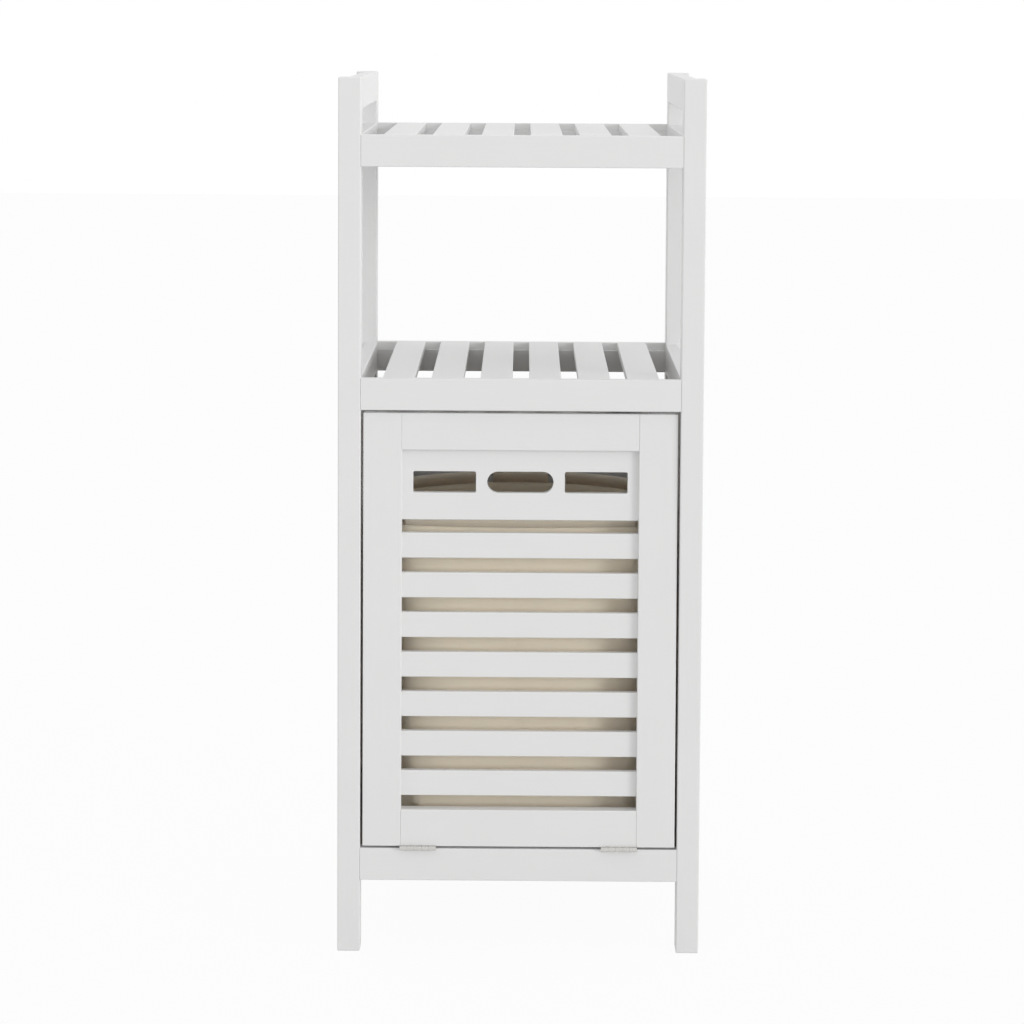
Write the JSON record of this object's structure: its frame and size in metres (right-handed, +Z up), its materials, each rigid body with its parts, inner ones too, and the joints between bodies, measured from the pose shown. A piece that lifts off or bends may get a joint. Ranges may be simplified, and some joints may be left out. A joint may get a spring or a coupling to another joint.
{
  "type": "laundry hamper cabinet",
  "caption": "Tall open-shelf cabinet on square posts with a slatted tilt-out door over a fabric laundry bag on a hoop.",
  "frame": {"origin": "on the floor, at the middle of the footprint", "axes": "+Z up, -Y out of the door's front, +X to the right as seen from the front"},
  "size_m": [0.4, 0.3352, 0.968],
  "materials": {
    "white_paint": "sprayed white satin paint",
    "white_panel": "thin board with a smooth white face",
    "bare_wood": "bare fluted hardwood",
    "zinc_steel": "bright zinc",
    "nickel_steel": "satin nickel",
    "white_plastic": "moulded white",
    "dark_magnet": "dark ferrite",
    "cream_fabric": "plain-woven cream cloth"
  },
  "bodies": {
    "cabinet": {"post_front_left": "white_paint", "post_front_right": "white_paint", "post_rear_left": "white_paint", "post_rear_right": "white_paint", "side_rail_top_left": "white_paint", "side_rail_top_right": "white_paint", "side_rail_upper_left": "white_paint", "side_rail_upper_right": "white_paint", "side_rail_middle_left": "white_paint", "side_rail_middle_right": "white_paint", "side_rail_bottom_left": "white_paint", "side_rail_bottom_right": "white_paint", "front_rail_upper": "white_paint", "front_rail_middle": "white_paint", "front_rail_bottom": "white_paint", "rear_rail_upper": "white_paint", "rear_rail_middle": "white_paint", "rear_rail_bottom": "white_paint", "upper_shelf_slat_1": "white_paint", "upper_shelf_slat_2": "white_paint", "upper_shelf_slat_3": "white_paint", "upper_shelf_slat_4": "white_paint", "upper_shelf_slat_5": "white_paint", "upper_shelf_slat_6": "white_paint", "middle_shelf_slat_1": "white_paint", "middle_shelf_slat_2": "white_paint", "middle_shelf_slat_3": "white_paint", "middle_shelf_slat_4": "white_paint", "middle_shelf_slat_5": "white_paint", "middle_shelf_slat_6": "white_paint", "side_panel_left": "white_panel", "side_panel_right": "white_panel", "back_panel": "white_panel", "floor_panel": "white_panel", "connector_screws": "zinc_steel", "dowels": "bare_wood", "hinge_leaf_cabinet_left": "nickel_steel", "hinge_leaf_cabinet_right": "nickel_steel", "hinge_pins": "nickel_steel", "frame_screws": "zinc_steel", "catch_housing": "white_plastic", "catch_magnet": "dark_magnet"},
    "door": {"door_stile_left": "white_paint", "door_stile_right": "white_paint", "door_rail_bottom": "white_paint", "door_rail_top": "white_paint", "door_cutout_board": "white_paint", "door_slat_1": "white_paint", "door_slat_2": "white_paint", "door_slat_3": "white_paint", "door_slat_4": "white_paint", "door_slat_5": "white_paint", "door_slat_6": "white_paint", "door_slat_7": "white_paint", "hinge_leaf_door_left": "nickel_steel", "hinge_leaf_door_right": "nickel_steel", "door_screws": "zinc_steel", "strike_plate": "nickel_steel", "bag_hoop": "zinc_steel", "liner_bag": "cream_fabric"}
  },
  "joints": [
    {"name": "door_tilt", "type": "hinge", "parent": "cabinet", "child": "door", "pos_m": [0, -0.165, 0.11775], "axis": [1, 0, 0], "range_deg": [0, 35]}
  ]
}
